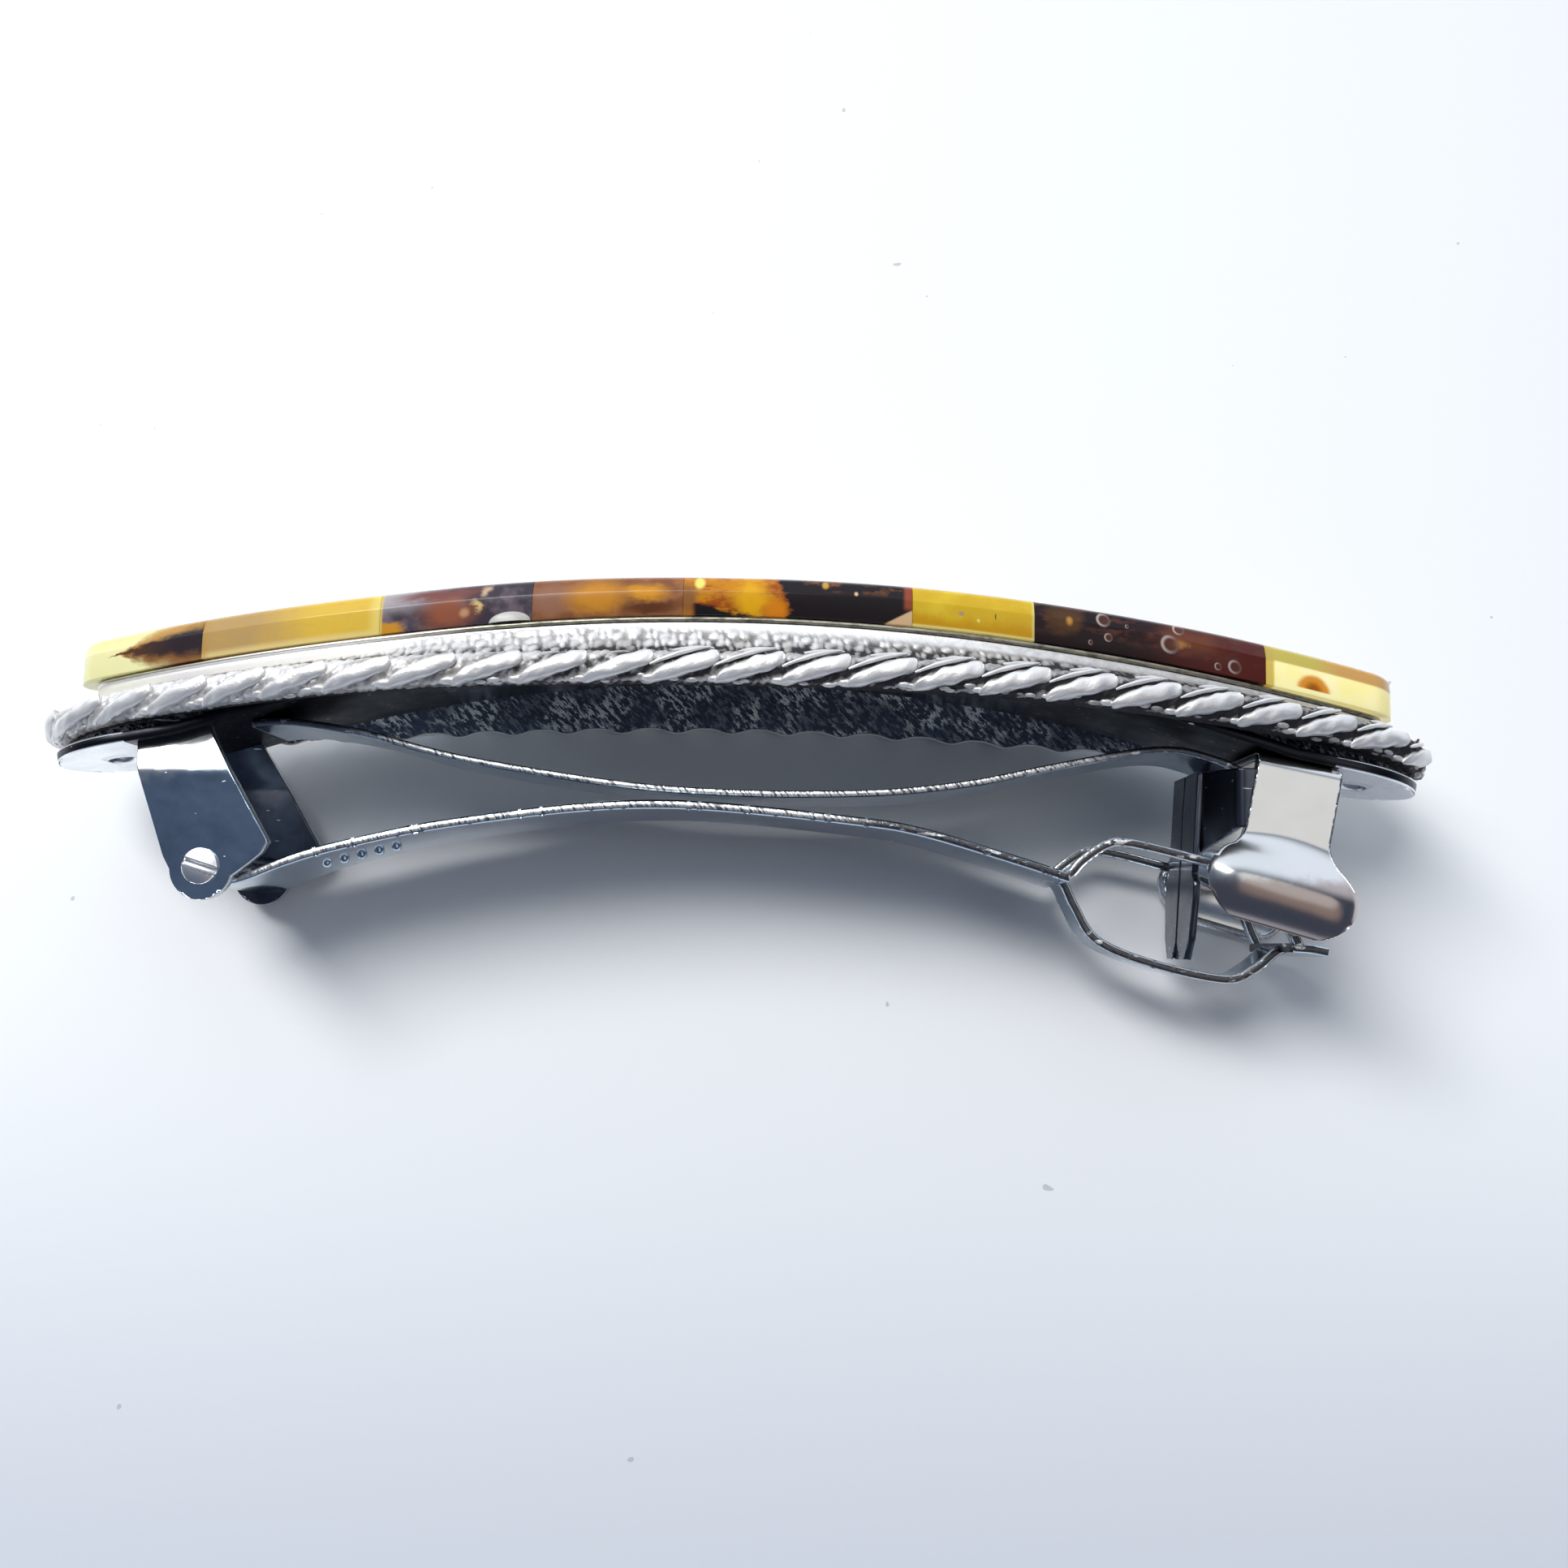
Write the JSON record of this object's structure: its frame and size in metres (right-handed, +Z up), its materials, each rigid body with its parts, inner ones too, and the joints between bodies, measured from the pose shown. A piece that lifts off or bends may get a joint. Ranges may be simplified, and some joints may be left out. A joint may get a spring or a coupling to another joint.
{
  "type": "french barrette",
  "caption": "Arched hair barrette: a cast silver plate with a rope border carries a bar of polished amber tiles over a sprung French clip with a hinged closing arm.",
  "frame": {"origin": "centre of the bottom of the bounding box, on the surface that the barrette lies on", "axes": "+X along the barrette from the hinge to the clasp, +Y towards the amber side, +Z up from the surface it lies on; it rests on its rope border and one press pad, leaning 14.4 degrees"},
  "size_m": [0.0798, 0.0228, 0.0186],
  "materials": {
    "silver": "antiqued cast silver, bright on the crests and dark in the hollows",
    "steel": "nickel plated spring steel, smooth, sheared edges",
    "bright_steel": "bright nickel plated spring steel",
    "amber_1": "polished pressed amber, lemon with a dark inclusion",
    "amber_2": "polished amber, honey",
    "amber_3": "polished amber, dark violet brown with gold flakes",
    "amber_4": "polished amber, cognac",
    "amber_5": "polished amber, orange swirl into black",
    "amber_6": "polished amber, opaque butter yellow",
    "amber_7": "polished amber, very dark cherry with bubbles",
    "amber_8": "polished amber, pale lemon with an orange spot"
  },
  "bodies": {
    "barrette": {"base_plate": "silver", "amber_1": "amber_1", "amber_2": "amber_2", "amber_3": "amber_3", "amber_4": "amber_4", "amber_5": "amber_5", "amber_6": "amber_6", "amber_7": "amber_7", "amber_8": "amber_8", "clip_strip": "steel", "clasp": "bright_steel", "tension_bar": "steel", "hinge_pin": "bright_steel"},
    "arm": {"closing_arm": "steel"}
  },
  "joints": [
    {"name": "arm_hinge", "type": "hinge", "parent": "barrette", "child": "arm", "pos_m": [-0.0289, -0.00602, 0.00658], "axis": [0, 0.2487, -0.9686], "range_deg": [0, 100]}
  ]
}
